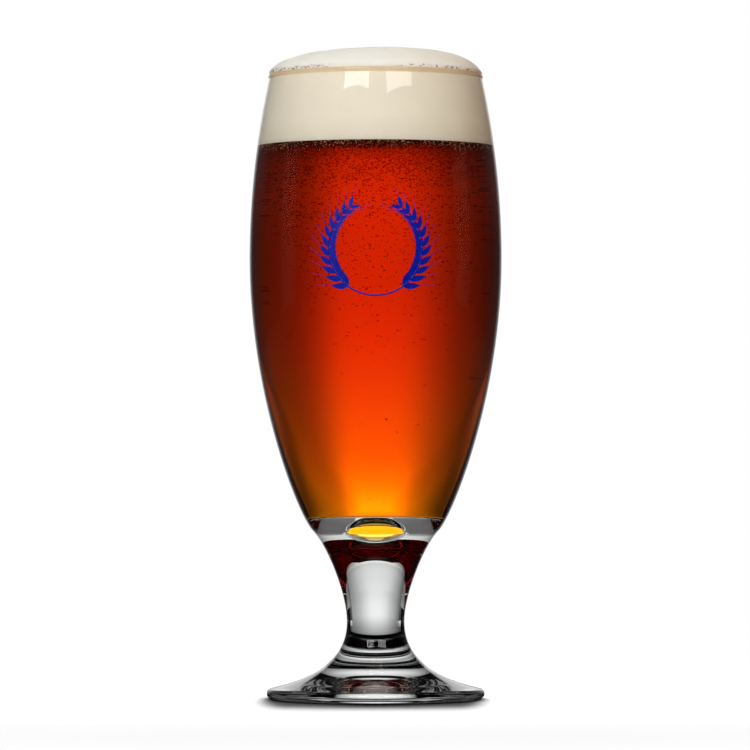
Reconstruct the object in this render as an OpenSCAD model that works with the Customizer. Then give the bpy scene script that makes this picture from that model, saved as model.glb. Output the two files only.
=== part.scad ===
// Footed pilsner glass, filled with beer under a head of foam.
// Millimetres, +Z up, origin on the table under the middle of the foot.
// One half outline of the whole glass is cut level into bowl, stem and foot, so the fused joints meet
// face to face. One half outline of the drink gives the inside of the bowl, the beer and the foam.

/* [Rim] */
// Height of the rim above the table
rim_h = 195; // [160:1:240]
// Outside diameter of the rim's bead
rim_d = 67; // [54:0.2:80]
// Thickness of the bead, which is melted to a full round
rim_wall = 2.4; // [1.4:0.1:3.2]
// Where the outer wall runs into the bead, in degrees below the bead's outer side
bead_turn = 35; // [10:1:50]

/* [Belly] */
// Height of the widest place above the table
belly_h = 137; // [110:1:165]
// Outside diameter at the widest place
belly_d = 78.7; // [62:0.1:95]
// Wall thickness at the widest place
belly_wall = 2.3; // [1.4:0.1:3.5]
// Upright pull on the outer outline below the belly
belly_pull = 42.3; // [30:0.1:53]
// Upright pull on the inner outline below the belly
belly_in_pull = 42; // [30:0.1:51]

/* [Heel] */
// Height of the heel, where the bowl's curve turns into the stem's flare
heel_h = 52.2; // [43:0.1:63]
// Outside diameter at the heel
heel_d = 39.1; // [32:0.1:48]
// Lean of the outline at the heel, in degrees from upright
heel_lean = 45; // [34:1:54]
// Pull on the outline above the heel
heel_pull = 6.4; // [3:0.1:9]
// Pull on the outline below the heel
flare_pull = 6; // [4:0.1:9]

/* [Cavity] */
// Height of the cavity's lower corner above the heel
corner_rise = 5.2; // [2:0.1:6]
// Wall thickness beside that corner, measured level
corner_wall = 6.1; // [4:0.1:8]
// Lean of the inside wall at that corner, in degrees from upright
corner_lean = 40; // [28:1:46]
// Pull on the inner outline above that corner
corner_pull = 5; // [3:0.1:9]
// How far the round of that corner runs along the wall and the floor
corner_round = 1.6; // [0.8:0.1:3]
// Fall of the floor towards the middle, in degrees from level
floor_fall = 3.5; // [0:0.5:6]
// Diameter of the dip in the middle of the floor, which is part of a ball
dip_d = 14; // [11:0.5:18]
// Depth of that dip
dip_depth = 4.6; // [2:0.1:5.6]
// How far the round of the dip's lip runs
dip_lip = 0.5; // [0.2:0.1:1]

/* [Stem] */
// Height of the waist above the table
waist_h = 24; // [20:0.1:30]
// Diameter at the waist
waist_d = 17.9; // [14:0.1:22]
// Upright pull on the outline above the waist
waist_pull = 8.6; // [5:0.1:10]
// Drop from the heel to the fused joint between bowl and stem
bowl_joint_drop = 7.7; // [6.5:0.1:10]
// Drop from the waist to the fused joint between stem and foot
foot_joint_drop = 3; // [1:0.1:5]

/* [Foot] */
// Diameter of the foot
foot_d = 68; // [56:0.5:82]
// Thickness of the foot's rounded edge
foot_edge = 3.2; // [2.4:0.1:4.5]
// Rise of the foot's top face at its edge, in degrees from level
foot_rise = 13; // [6:1:20]
// Pull on the foot's top face inside its edge
foot_pull = 15.5; // [9:0.5:18]
// Upright pull on the outline below the waist
ankle_pull = 11.3; // [7:0.1:14]
// Diameter of the hollow under the foot
hollow_d = 46; // [30:0.5:50]
// Depth of the hollow under the foot
hollow_depth = 2.2; // [0.8:0.1:3]

/* [Drink] */
// Drop from the rim to the line between beer and foam
foam_drop = 23; // [10:0.5:40]
// Height of the foam's crown above the rim
crown_rise = 7.6; // [3:0.1:14]
// Where the crown meets the rim's round, in degrees above its outer side
crown_lap = 35; // [20:1:80]

/* [Hidden] */

curve_steps = 20;
bowl_steps = 30;
round_steps = 8;
turn_facets = 180;

belly = [belly_d / 2, belly_h];
belly_in = belly - [belly_wall, 0];
heel = [heel_d / 2, heel_h];
waist = [waist_d / 2, waist_h];
bowl_joint_h = heel_h - bowl_joint_drop;
foot_joint_h = waist_h - foot_joint_drop;
beer_h = rim_h - foam_drop;

// The rim's bead, and how far the inner wall leans in where it runs into it, in degrees from upright.
rim_round = rim_wall / 2;
rim_middle = [rim_d / 2 - rim_round, rim_h - rim_round];
rim_in_lean = atan(2 * (belly_in[0] - rim_d / 2 + rim_wall) / (rim_middle[1] - belly_h));

// The foot's rounded edge, and the ball that its hollow is part of.
foot_round = foot_edge / 2;
foot_middle = [foot_d / 2 - foot_round, foot_round];
hollow_ball = ((hollow_d / 2) ^ 2 + hollow_depth ^ 2) / (2 * hollow_depth);

// The cavity's corner lies a wall's width inside the outline, which leans out above the heel.
corner = heel + [corner_rise * tan(heel_lean) - corner_wall, corner_rise];
wall_foot = corner + corner_round * leaning(corner_lean);
floor_in = at_angle(180 + floor_fall);
floor_edge = corner + corner_round * floor_in;
dip_edge = corner + (corner[0] - dip_d / 2) * [-1, -tan(floor_fall)];
lip_out = dip_edge - dip_lip * floor_in;

// The dip's ball, as far as its lip, from the middle outwards.
dip_ball = ((dip_d / 2) ^ 2 + dip_depth ^ 2) / (2 * dip_depth);
dip_middle = [0, dip_edge[1] - dip_depth + dip_ball];
dip_reach = acos(1 - dip_depth / dip_ball) - dip_lip / dip_ball * 180 / PI;

// Higher and wider than the whole glass, for cutting it level.
reach = rim_h + crown_rise + belly_d;

function leaning(angle) = [sin(angle), cos(angle)];
function at_angle(angle) = [cos(angle), sin(angle)];

function bezier_point(a, b, c, d, t) =
    a * (1 - t) ^ 3 + 3 * b * t * (1 - t) ^ 2 + 3 * c * t ^ 2 * (1 - t) + d * t ^ 3;

// Each of these gives points from just after its start up to its end, so that they can be chained.
function curve(a, b, c, d, steps) = [for (i = [1 : steps]) bezier_point(a, b, c, d, i / steps)];

function arc(middle, radius, from, to, steps) =
    [for (i = [1 : steps]) middle + radius * at_angle(from + (to - from) * i / steps)];

// A wall that stands upright at the belly and bends in evenly towards the rim.
function upper_wall(low, high, steps) =
    [for (i = [1 : steps]) let (t = i / steps)
        [low[0] + (high[0] - low[0]) * t ^ 2, low[1] + (high[1] - low[1]) * t]];

function last(points) = points[len(points) - 1];
function backwards(points) = [for (i = [len(points) - 1 : -1 : 0]) points[i]];
function but_last(points) = [for (i = [0 : len(points) - 2]) points[i]];

// Outer side of the glass, from the middle of the underside to the end of the wall below the rim.
foot_top = foot_middle + foot_round * leaning(foot_rise);
foot_inward = foot_top + foot_pull * at_angle(180 - foot_rise);
outer_side = concat(
    [[0, 0], [foot_middle[0], 0]],
    arc(foot_middle, foot_round, -90, 90 - foot_rise, round_steps),
    curve(foot_top, foot_inward, waist - [0, ankle_pull], waist, curve_steps),
    curve(waist, waist + [0, waist_pull], heel - flare_pull * leaning(heel_lean), heel, curve_steps),
    curve(heel, heel + heel_pull * leaning(heel_lean), belly - [0, belly_pull], belly, bowl_steps),
    upper_wall(belly, rim_middle + rim_round * at_angle(-bead_turn), bowl_steps)
);

// Inner side of the bowl, from the middle of its floor to the end of the wall below the rim.
dip = concat([dip_middle - [0, dip_ball]], arc(dip_middle, dip_ball, -90, dip_reach - 90, curve_steps));
inner_side = concat(
    dip,
    curve(last(dip), dip_edge, dip_edge, lip_out, round_steps),
    [floor_edge],
    curve(floor_edge, corner, corner, wall_foot, round_steps),
    curve(
        wall_foot,
        wall_foot + corner_pull * leaning(corner_lean),
        belly_in - [0, belly_in_pull],
        belly_in,
        bowl_steps
    ),
    upper_wall(belly_in, rim_middle - rim_round * at_angle(-rim_in_lean), bowl_steps)
);

// The rim's round on either side of the line where the foam's crown meets it.
rim_outside = arc(rim_middle, rim_round, -bead_turn, crown_lap, round_steps);
rim_inside = arc(rim_middle, rim_round, 180 - rim_in_lean, crown_lap, 2 * round_steps);

// The foam laps over the rim and rises from there to a low crown.
lap = rim_middle + rim_round * at_angle(crown_lap);
crown_h = rim_h + crown_rise - lap[1];
crown = [for (i = [1 : bowl_steps]) let (a = 90 * i / bowl_steps)
    [lap[0] * cos(a), lap[1] + crown_h * sin(a)]];

module turned() {
    rotate_extrude($fn = turn_facets) children();
}

// The half plane between two heights.
module level_band(low, high) {
    translate([0, low]) square([reach, high - low]);
}

module glass_half() {
    polygon(concat(outer_side, but_last(rim_outside), backwards(concat(inner_side, rim_inside))));
}

module drink_half() {
    polygon(concat(inner_side, rim_inside, crown));
}

module bowl() {
    color("aliceblue", 0.4) turned() intersection() {
        glass_half();
        level_band(bowl_joint_h, reach);
    }
}

module stem() {
    color("lightcyan", 0.4) turned() intersection() {
        glass_half();
        level_band(foot_joint_h, bowl_joint_h);
    }
}

module foot() {
    color("azure", 0.4) turned() difference() {
        intersection() {
            glass_half();
            level_band(0, foot_joint_h);
        }
        translate([0, hollow_depth - hollow_ball]) circle(hollow_ball, $fn = turn_facets);
    }
}

module beer() {
    color("firebrick") turned() intersection() {
        drink_half();
        level_band(0, beer_h);
    }
}

module foam_head() {
    color("antiquewhite") turned() intersection() {
        drink_half();
        level_band(beer_h, reach);
    }
}

bowl();
stem();
foot();
beer();
foam_head();
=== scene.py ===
"""Footed pilsner glass with beer under a head of foam: its looks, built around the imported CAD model."""

import math
from functools import partial

import bmesh
import bpy
from bpy.props import FloatProperty, FloatVectorProperty, IntProperty, PointerProperty
from mathutils import Matrix, Quaternion, Vector, noise


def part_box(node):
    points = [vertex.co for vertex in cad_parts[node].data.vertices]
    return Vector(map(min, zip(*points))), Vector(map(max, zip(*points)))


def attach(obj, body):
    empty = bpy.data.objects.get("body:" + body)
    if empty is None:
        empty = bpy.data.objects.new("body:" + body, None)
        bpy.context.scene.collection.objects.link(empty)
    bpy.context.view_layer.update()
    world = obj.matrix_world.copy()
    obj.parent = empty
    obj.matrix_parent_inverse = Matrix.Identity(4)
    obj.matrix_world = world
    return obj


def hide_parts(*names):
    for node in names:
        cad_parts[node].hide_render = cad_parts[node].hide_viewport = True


bl_info = {
    "name": "Footed pilsner glass",
    "version": (1, 0, 0),
    "blender": (4, 5, 0),
    "location": "3D View > Sidebar > Glass",
    "description": "Builds a footed pilsner glass with its beer, foam, print and studio",
    "category": "Object",
}

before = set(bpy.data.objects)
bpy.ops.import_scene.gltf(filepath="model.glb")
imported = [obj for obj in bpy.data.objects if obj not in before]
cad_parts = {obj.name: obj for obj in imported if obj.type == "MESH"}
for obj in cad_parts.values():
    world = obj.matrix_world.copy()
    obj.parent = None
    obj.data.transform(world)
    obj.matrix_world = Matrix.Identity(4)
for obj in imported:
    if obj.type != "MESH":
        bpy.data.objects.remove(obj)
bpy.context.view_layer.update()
BODY = "root"
MM = 0.001

BOWL_LOW, BOWL_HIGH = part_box("bowl")
FOOT_LOW, FOOT_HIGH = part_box("foot")
STEM_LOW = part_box("stem")[0]
BEER_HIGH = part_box("beer")[1]
FOAM_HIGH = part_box("foam_head")[1]

# Number that each stretch of a half outline carries, to say which finish it takes.
DRY, WET, JOINT = 0, 1, 2
FINISHES = ("Dry finish", "Wet finish", "Joint finish")

# Refractive indices of soda-lime glass and of beer.
GLASS_IOR = 1.52
BEER_IOR = 1.345

# About the drink's radius below the rim, and the height of its floor.
WALL_RADIUS = 36 * MM
FLOOR_H = 55 * MM

# Points nearer than this become one, and edges bent further than this stay sharp.
MERGE_GAP = 1e-6
SHARP_FROM = math.radians(30)


def length(name, description, value):
    """A size in metres."""
    return FloatProperty(
        name=name, description=description, default=value, min=0.0, unit="LENGTH", precision=5
    )


def angle(name, description, degrees):
    """An angle, given in degrees and kept in radians."""
    return FloatProperty(
        name=name, description=description, default=math.radians(degrees), subtype="ANGLE"
    )


def srgb(code):
    """Linear colour of an sRGB hex value such as #E8DCC6."""
    channels = [int(code[i : i + 2], 16) / 255 for i in (1, 3, 5)]
    return tuple(c / 12.92 if c <= 0.04045 else ((c + 0.055) / 1.055) ** 2.4 for c in channels)


def colour(name, description, code):
    """A surface colour, given as an sRGB hex value."""
    return FloatVectorProperty(
        name=name, description=description, default=srgb(code), subtype="COLOR", min=0.0, max=1.0
    )


class GlassSizes(bpy.types.PropertyGroup):
    """Sizes of the glass itself."""

    rim_h: length("Rim height", "Height of the rim above the table", BOWL_HIGH.z)
    rim_d: length("Rim diameter", "Outside diameter of the rim's bead", 67 * MM)
    rim_wall: length("Rim bead", "Thickness of the bead, melted to a full round", 2.4 * MM)
    bead_turn: angle("Bead turn", "Where the wall runs into the bead, below its outer side", 35)
    belly_h: length("Belly height", "Height of the widest place", 137 * MM)
    belly_d: length("Belly diameter", "Diameter at the widest place", BOWL_HIGH.y - BOWL_LOW.y)
    belly_wall: length("Belly wall", "Wall thickness at the widest place", 2.3 * MM)
    belly_pull: length("Belly pull", "Upright pull on the outer outline below the belly", 42.3 * MM)
    belly_in_pull: length("Inner belly pull", "Upright pull on the inner outline", 42 * MM)
    heel_h: length("Heel height", "Height where the bowl turns into the stem's flare", 52.2 * MM)
    heel_d: length("Heel diameter", "Outside diameter at the heel", 39.1 * MM)
    heel_lean: angle("Heel lean", "Lean of the outline at the heel, from upright", 45)
    heel_pull: length("Heel pull", "Pull on the outline above the heel", 6.4 * MM)
    flare_pull: length("Flare pull", "Pull on the outline below the heel", 6 * MM)
    corner_rise: length("Corner rise", "Height of the cavity's corner above the heel", 5.2 * MM)
    corner_wall: length("Corner wall", "Wall beside that corner, measured level", 6.1 * MM)
    corner_lean: angle("Corner lean", "Lean of the inside wall at that corner", 40)
    corner_pull: length("Corner pull", "Pull on the inner outline above that corner", 5 * MM)
    corner_round: length("Corner round", "How far that corner's round runs", 1.6 * MM)
    floor_fall: angle("Floor fall", "Fall of the cavity's floor towards the middle", 3.5)
    dip_d: length("Dip diameter", "Diameter of the dip in the middle of the floor", 14 * MM)
    dip_depth: length("Dip depth", "Depth of that dip", 4.6 * MM)
    dip_lip: length("Dip lip", "How far the round of the dip's lip runs", 0.5 * MM)
    waist_h: length("Waist height", "Height of the stem's waist", 24 * MM)
    waist_d: length("Waist diameter", "Diameter of the stem's waist", 17.9 * MM)
    waist_pull: length("Waist pull", "Upright pull on the outline above the waist", 8.6 * MM)
    bowl_joint_h: length("Bowl joint", "Height where bowl and stem are fused", BOWL_LOW.z)
    foot_joint_h: length("Foot joint", "Height where stem and foot are fused", STEM_LOW.z)
    foot_d: length("Foot diameter", "Diameter of the foot", FOOT_HIGH.y - FOOT_LOW.y)
    foot_edge: length("Foot edge", "Thickness of the foot's rounded edge", 3.2 * MM)
    foot_rise: angle("Foot rise", "Rise of the foot's top face at its edge", 13)
    foot_pull: length("Foot pull", "Pull on the foot's top face inside its edge", 15.5 * MM)
    ankle_pull: length("Ankle pull", "Upright pull on the outline below the waist", 11.3 * MM)
    hollow_d: length("Hollow diameter", "Diameter of the hollow under the foot", 46 * MM)
    hollow_depth: length("Hollow depth", "Depth of the hollow under the foot", 2.2 * MM)
    facets: IntProperty(name="Facets", description="Facets round the axis", default=256, min=48)


class DrinkSettings(bpy.types.PropertyGroup):
    """Sizes and colours of the beer and its foam."""

    beer_h: length("Beer height", "Height of the line between beer and foam", BEER_HIGH.z)
    crown_h: length("Crown height", "Height of the foam's crown", FOAM_HIGH.z)
    crown_lap: angle("Crown lap", "Where the crown meets the rim's round", 35)
    contact_gap: length("Contact gap", "Film between the drink and the glass", 0.03 * MM)
    beer_density: FloatProperty(
        name="Beer density", description="How strongly the beer takes light, per metre", default=200.0
    )
    beer_colour: FloatVectorProperty(
        name="Beer colour",
        description="Light that the beer lets through",
        default=(0.985, 0.775, 0.02),
        subtype="COLOR",
        min=0.0,
        max=1.0,
    )
    foam_colour: colour("Foam colour", "Colour of the foam behind the glass", "#F6E9D3")
    crown_colour: colour("Crown colour", "Colour of the foam above the rim", "#EAE6DB")
    ring_colour: colour("Ring colour", "Colour of the drying foam at the rim", "#EBD2AD")
    speck_colour: colour("Speck colour", "Colour of the dry specks at the rim", "#5A2E08")
    bubbles: IntProperty(
        name="Bubbles", description="Bubbles on a square centimetre under the head", default=40
    )
    bubble_depth: length("Bubble depth", "Depth over which the bubbles thin out", 14 * MM)
    bubble_least: length("Least bubble", "Radius of the smallest bubbles", 0.06 * MM)
    bubble_most: length("Largest bubble", "Radius of the largest bubbles", 0.2 * MM)
    fizz: length("Fizz", "Spacing of the finest bubbles on the wall", 0.55 * MM)


class PrintSettings(bpy.types.PropertyGroup):
    """The wreath of barley printed on the bowl's front."""

    middle_h: length("Middle height", "Height of the wreath's middle above the table", 139 * MM)
    reach: length("Reach", "From the wreath's middle to the line of an ear", 14.6 * MM)
    grain: length("Grain", "Length of one grain without its awn", 5.2 * MM)
    pairs: IntProperty(
        name="Pairs", description="Pairs of grains along the line of an ear", default=15, min=4
    )
    line: length("Line", "Width of an ear's stalk", 0.5 * MM)
    film: length("Film", "Thickness of the fired colour", 0.08 * MM)
    ink: colour("Ink", "Colour of the fired enamel", "#05158F")


class StageSettings(bpy.types.PropertyGroup):
    """Camera and light of the studio."""

    camera_distance: length("Camera distance", "From the glass's axis to the lens", 1.5)
    camera_h: length("Camera height", "Height of the lens above the table", 0.074)
    aim_h: length("Aim height", "Height on the axis that the camera looks at", 0.1008)
    field: length("Field", "Width that the picture shows at the glass's axis", 0.234)


def add_node(tree, kind, sockets=None, stops=None, blend="LINEAR", **settings):
    """Adds a node. sockets gives inputs a value, an output or a node, which stands for its first output."""
    node = tree.nodes.new(kind)
    for name, value in settings.items():
        setattr(node, name, value)
    if stops:
        node.color_ramp.interpolation = blend
        elements = node.color_ramp.elements
        while len(elements) < len(stops):
            elements.new(1.0)
        for element, (place, shade) in zip(elements, stops):
            element.position = place
            element.color = (*shade, 1.0) if isinstance(shade, tuple) else (shade, shade, shade, 1.0)
    for key, value in (sockets or {}).items():
        if isinstance(value, bpy.types.Node):
            value = value.outputs[0]
        if isinstance(value, bpy.types.NodeSocket):
            tree.links.new(value, node.inputs[key])
        else:
            node.inputs[key].default_value = value
    return node


def leaning(turn):
    return Vector((math.sin(turn), math.cos(turn)))


def at_angle(turn):
    return Vector((math.cos(turn), math.sin(turn)))


def curve(a, b, c, d, steps):
    """Points of a cubic curve from just after its start to its end, as (radius, height)."""
    shares = [i / steps for i in range(1, steps + 1)]
    return [
        a * (1 - t) ** 3 + 3 * b * t * (1 - t) ** 2 + 3 * c * t**2 * (1 - t) + d * t**3 for t in shares
    ]


def arc(middle, radius, start, end, steps):
    return [middle + radius * at_angle(start + (end - start) * i / steps) for i in range(1, steps + 1)]


def upper_wall(low, high, steps):
    """A wall that stands upright at the belly and bends in evenly towards the rim."""
    shares = [i / steps for i in range(1, steps + 1)]
    return [Vector((low.x + (high.x - low.x) * t**2, low.y + (high.y - low.y) * t)) for t in shares]


def between(points, low, high):
    """The part of an outline between two heights, cut exactly there."""
    kept = []
    for a, b in zip(points, points[1:]):
        if max(a.y, b.y) <= low or min(a.y, b.y) >= high:
            continue
        start = a.lerp(b, (low - a.y) / (b.y - a.y)) if a.y < low else a
        end = a.lerp(b, (high - a.y) / (b.y - a.y)) if b.y > high else b
        if not kept:
            kept.append(start)
        kept.append(end)
    return kept


class Outline:
    """Half outlines of the glass and the drink, worked out from their sizes, as (radius, height)."""

    STEPS = 48
    ROUND_STEPS = 14

    def __init__(self, s, drink):
        belly = Vector((s.belly_d / 2, s.belly_h))
        belly_in = belly - Vector((s.belly_wall, 0))
        heel = Vector((s.heel_d / 2, s.heel_h))
        along_heel = leaning(s.heel_lean)
        waist = Vector((s.waist_d / 2, s.waist_h))
        up = Vector((0, 1))
        rim_round = s.rim_wall / 2
        self.rim_middle = Vector((s.rim_d / 2 - rim_round, s.rim_h - rim_round))
        rim_in = s.rim_d / 2 - s.rim_wall
        rim_in_lean = math.atan(2 * (belly_in.x - rim_in) / (self.rim_middle.y - s.belly_h))
        foot_round = s.foot_edge / 2
        foot_middle = Vector((s.foot_d / 2 - foot_round, foot_round))
        foot_top = foot_middle + foot_round * leaning(s.foot_rise)
        foot_inward = foot_top + s.foot_pull * at_angle(math.pi - s.foot_rise)
        self.underside = self.cap(s.hollow_d, s.hollow_depth) + [Vector((foot_middle.x, 0))]
        self.outer = (
            [Vector((foot_middle.x, 0))]
            + arc(foot_middle, foot_round, -math.pi / 2, math.pi / 2 - s.foot_rise, self.ROUND_STEPS)
            + curve(foot_top, foot_inward, waist - s.ankle_pull * up, waist, self.STEPS)
            + curve(waist, waist + s.waist_pull * up, heel - s.flare_pull * along_heel, heel, self.STEPS)
            + curve(heel, heel + s.heel_pull * along_heel, belly - s.belly_pull * up, belly, self.STEPS)
            + upper_wall(belly, self.rim_middle + rim_round * at_angle(-s.bead_turn), self.STEPS)
        )
        corner = heel + Vector((s.corner_rise * math.tan(s.heel_lean) - s.corner_wall, s.corner_rise))
        wall_foot = corner + s.corner_round * leaning(s.corner_lean)
        floor_in = at_angle(math.pi + s.floor_fall)
        floor_edge = corner + s.corner_round * floor_in
        dip_edge = corner + (corner.x - s.dip_d / 2) * Vector((-1, -math.tan(s.floor_fall)))
        dip = [Vector((p.x, dip_edge.y - p.y)) for p in self.cap(s.dip_d, s.dip_depth, s.dip_lip)]
        lip_out = dip_edge - s.dip_lip * floor_in
        self.inner = (
            dip
            + curve(dip[-1], dip_edge, dip_edge, lip_out, self.ROUND_STEPS)
            + [lip_out.lerp(floor_edge, i / self.ROUND_STEPS) for i in range(1, self.ROUND_STEPS + 1)]
            + curve(floor_edge, corner, corner, wall_foot, self.ROUND_STEPS)
            + curve(
                wall_foot,
                wall_foot + s.corner_pull * leaning(s.corner_lean),
                belly_in - s.belly_in_pull * up,
                belly_in,
                self.STEPS,
            )
            + upper_wall(belly_in, self.rim_middle - rim_round * at_angle(-rim_in_lean), self.STEPS)
        )
        lap = drink.crown_lap
        self.rim_outside = arc(self.rim_middle, rim_round, -s.bead_turn, lap, self.ROUND_STEPS)
        self.rim_inside = arc(self.rim_middle, rim_round, math.pi - rim_in_lean, lap, 2 * self.ROUND_STEPS)
        edge = self.rim_inside[-1]
        turns = [math.pi / 2 * i / self.STEPS for i in range(1, self.STEPS + 1)]
        self.crown = [
            Vector((edge.x * math.cos(a), edge.y + (drink.crown_h - edge.y) * math.sin(a))) for a in turns
        ]

    def cap(self, width, depth, short=0.0):
        """Part of a ball, from its middle to its edge or a little short of it, as radius and depth."""
        ball = ((width / 2) ** 2 + depth**2) / (2 * depth)
        reach = math.acos(1 - depth / ball) - short / ball
        turns = [reach * i / self.ROUND_STEPS for i in range(self.ROUND_STEPS + 1)]
        return [Vector((ball * math.sin(a), depth - ball * (1 - math.cos(a)))) for a in turns]


def inset(points, gap):
    """Moves an outline of the drink off the glass, square to the outline."""
    moved = []
    for i, point in enumerate(points):
        along = points[min(i + 1, len(points) - 1)] - points[max(i - 1, 0)]
        square = Vector((-along.y, along.x)).normalized()
        moved.append(Vector((max(point.x + gap * square.x, 0.0), point.y + gap * square.y)))
    moved[0].x = points[0].x
    return moved


def new_tree(name, inputs, output):
    """A geometry node tree with inputs of given kinds, what adds a node to it, and what its inputs give."""
    tree = bpy.data.node_groups.new(name, "GeometryNodeTree")
    for label, kind in inputs.items():
        tree.interface.new_socket(label, in_out="INPUT", socket_type=f"NodeSocket{kind}")
    tree.interface.new_socket(output, in_out="OUTPUT", socket_type="NodeSocketGeometry")
    add = partial(add_node, tree)
    return tree, add, add("NodeGroupInput").outputs


def turning_tree():
    """Geometry nodes that turn a half outline round the Z axis into a closed body."""
    inputs = {"Outline": "Geometry", "Facets": "Int", **dict.fromkeys(FINISHES, "Material")}
    tree, add, given = new_tree("turned_body", inputs, "Body")
    count = add("GeometryNodeAttributeDomainSize", {0: given["Outline"]}).outputs["Point Count"]
    columns = add("ShaderNodeMath", {0: given["Facets"], 1: 1.0}, operation="ADD")
    grid = add("GeometryNodeMeshGrid", {"Vertices X": columns, "Vertices Y": count})
    index = add("GeometryNodeInputIndex")
    column = add("ShaderNodeMath", {0: index, 1: count}, operation="DIVIDE")
    column = add("ShaderNodeMath", {0: column}, operation="FLOOR")
    row = add("ShaderNodeMath", {0: index, 1: count}, operation="MODULO")
    place = add("GeometryNodeInputPosition")
    point = add(
        "GeometryNodeSampleIndex", {0: given["Outline"], 1: place, 2: row}, data_type="FLOAT_VECTOR"
    )
    share = add("ShaderNodeMath", {0: column, 1: given["Facets"]}, operation="DIVIDE")
    turn = add("ShaderNodeMath", {0: share, 1: math.tau}, operation="MULTIPLY")
    turned = add("ShaderNodeVectorRotate", {"Vector": point, "Angle": turn}, rotation_type="Z_AXIS")
    body = add("GeometryNodeSetPosition", {"Geometry": grid, "Position": turned})
    rows = add("ShaderNodeMath", {0: count, 1: 1.0}, operation="SUBTRACT")
    face_row = add("ShaderNodeMath", {0: index, 1: rows}, operation="MODULO")
    finish = add("GeometryNodeInputNamedAttribute", {"Name": "finish"}, data_type="INT")
    finish = add("GeometryNodeSampleIndex", {0: given["Outline"], 1: finish, 2: face_row}, data_type="INT")
    body = add(
        "GeometryNodeStoreNamedAttribute",
        {"Geometry": body, "Name": "finish", "Value": finish},
        data_type="INT",
        domain="FACE",
    )
    body = add("GeometryNodeMergeByDistance", {"Geometry": body, "Distance": MERGE_GAP})
    body = add("GeometryNodeRealizeInstances", {"Geometry": body})
    stored = add("GeometryNodeInputNamedAttribute", {"Name": "finish"}, data_type="INT")
    for number, name in enumerate(FINISHES):
        chosen = add("FunctionNodeCompare", {2: stored, 3: number}, data_type="INT", operation="EQUAL")
        body = add(
            "GeometryNodeSetMaterial", {"Geometry": body, "Selection": chosen, "Material": given[name]}
        )
    add("NodeGroupOutput", {0: body})
    return tree


def apply_tree(obj, tree, inputs):
    """Runs a geometry node tree on an object and leaves the plain mesh that it makes."""
    modifier = obj.modifiers.new(tree.name, "NODES")
    modifier.node_group = tree
    for item in tree.interface.items_tree:
        if item.in_out == "INPUT" and item.name in inputs:
            modifier[item.identifier] = inputs[item.name]
    graph = bpy.context.evaluated_depsgraph_get()
    mesh = bpy.data.meshes.new_from_object(obj.evaluated_get(graph))
    obj.modifiers.remove(modifier)
    obj.data = mesh
    mesh.name = obj.name
    if not mesh.polygons:
        raise RuntimeError(f"{obj.name} came out empty")


def turned_body(name, stretches, facets, finishes):
    """A closed body turned from stretches of outline, each a list of points and its finish."""
    points, marks = [], []
    for stretch, finish in stretches:
        for point in stretch:
            if points and (point - points[-1]).length < MERGE_GAP / 10:
                continue
            points.append(point)
            marks.append(finish)
    # A row of faces takes the finish of the stretch that its upper point belongs to.
    marks = marks[1:] + marks[-1:]
    mesh = bpy.data.meshes.new(name)
    mesh.from_pydata([(p.x, 0.0, p.y) for p in points], [(i, i + 1) for i in range(len(points) - 1)], [])
    mesh.attributes.new("finish", "INT", "POINT").data.foreach_set("value", marks)
    body = link(name, mesh)
    apply_tree(body, turning_tree(), {"Facets": facets, **dict(zip(FINISHES, finishes))})
    face_outwards(body.data)
    body.data.polygons.foreach_set("use_smooth", [True] * len(body.data.polygons))
    body.data.set_sharp_from_angle(angle=SHARP_FROM)
    return body


def new_material(name):
    """A material without nodes, and what adds a node to it."""
    material = bpy.data.materials.new(name)
    material.use_nodes = True
    material.node_tree.nodes.clear()
    return material, partial(add_node, material.node_tree)


def unrolled(add, coords, radius):
    """Coordinates on a wall round the axis, laid flat: way round from the front, height, nothing."""
    x, y, z = add("ShaderNodeSeparateXYZ", {0: coords}).outputs
    ahead = add("ShaderNodeMath", {0: y, 1: -1.0}, operation="MULTIPLY")
    turn = add("ShaderNodeMath", {0: x, 1: ahead}, operation="ARCTAN2")
    way = add("ShaderNodeMath", {0: turn, 1: radius}, operation="MULTIPLY")
    return add("ShaderNodeCombineXYZ", {"X": way, "Y": z})


def dots(add, place, spacing, share, size, kind="2D"):
    """Round dots of mixed size, one to a cell, in as large a share of the cells as share says."""
    cells = add(
        "ShaderNodeTexVoronoi", {"Vector": place, "Scale": 1 / spacing}, voronoi_dimensions=kind
    ).outputs
    pick, width, _ = add("ShaderNodeSeparateXYZ", {0: cells["Color"]}).outputs
    picked = add("ShaderNodeMath", {0: pick, 1: share}, operation="LESS_THAN")
    reach = add("ShaderNodeMapRange", {"Value": width, "To Min": 0.55 * size, "To Max": size})
    inside = add("ShaderNodeMath", {0: cells["Distance"], 1: reach}, operation="LESS_THAN")
    return add("ShaderNodeMath", {0: picked, 1: inside}, operation="MULTIPLY")


def lamps_pass(add, body, clear):
    """Lets the light of lamps and of matt surfaces pass a clear body unbent."""
    path = add("ShaderNodeLightPath").outputs
    for kind in ("Is Shadow Ray", "Is Diffuse Ray"):
        body = add("ShaderNodeMixShader", {0: path[kind], 1: body, 2: clear})
    return body


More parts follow.
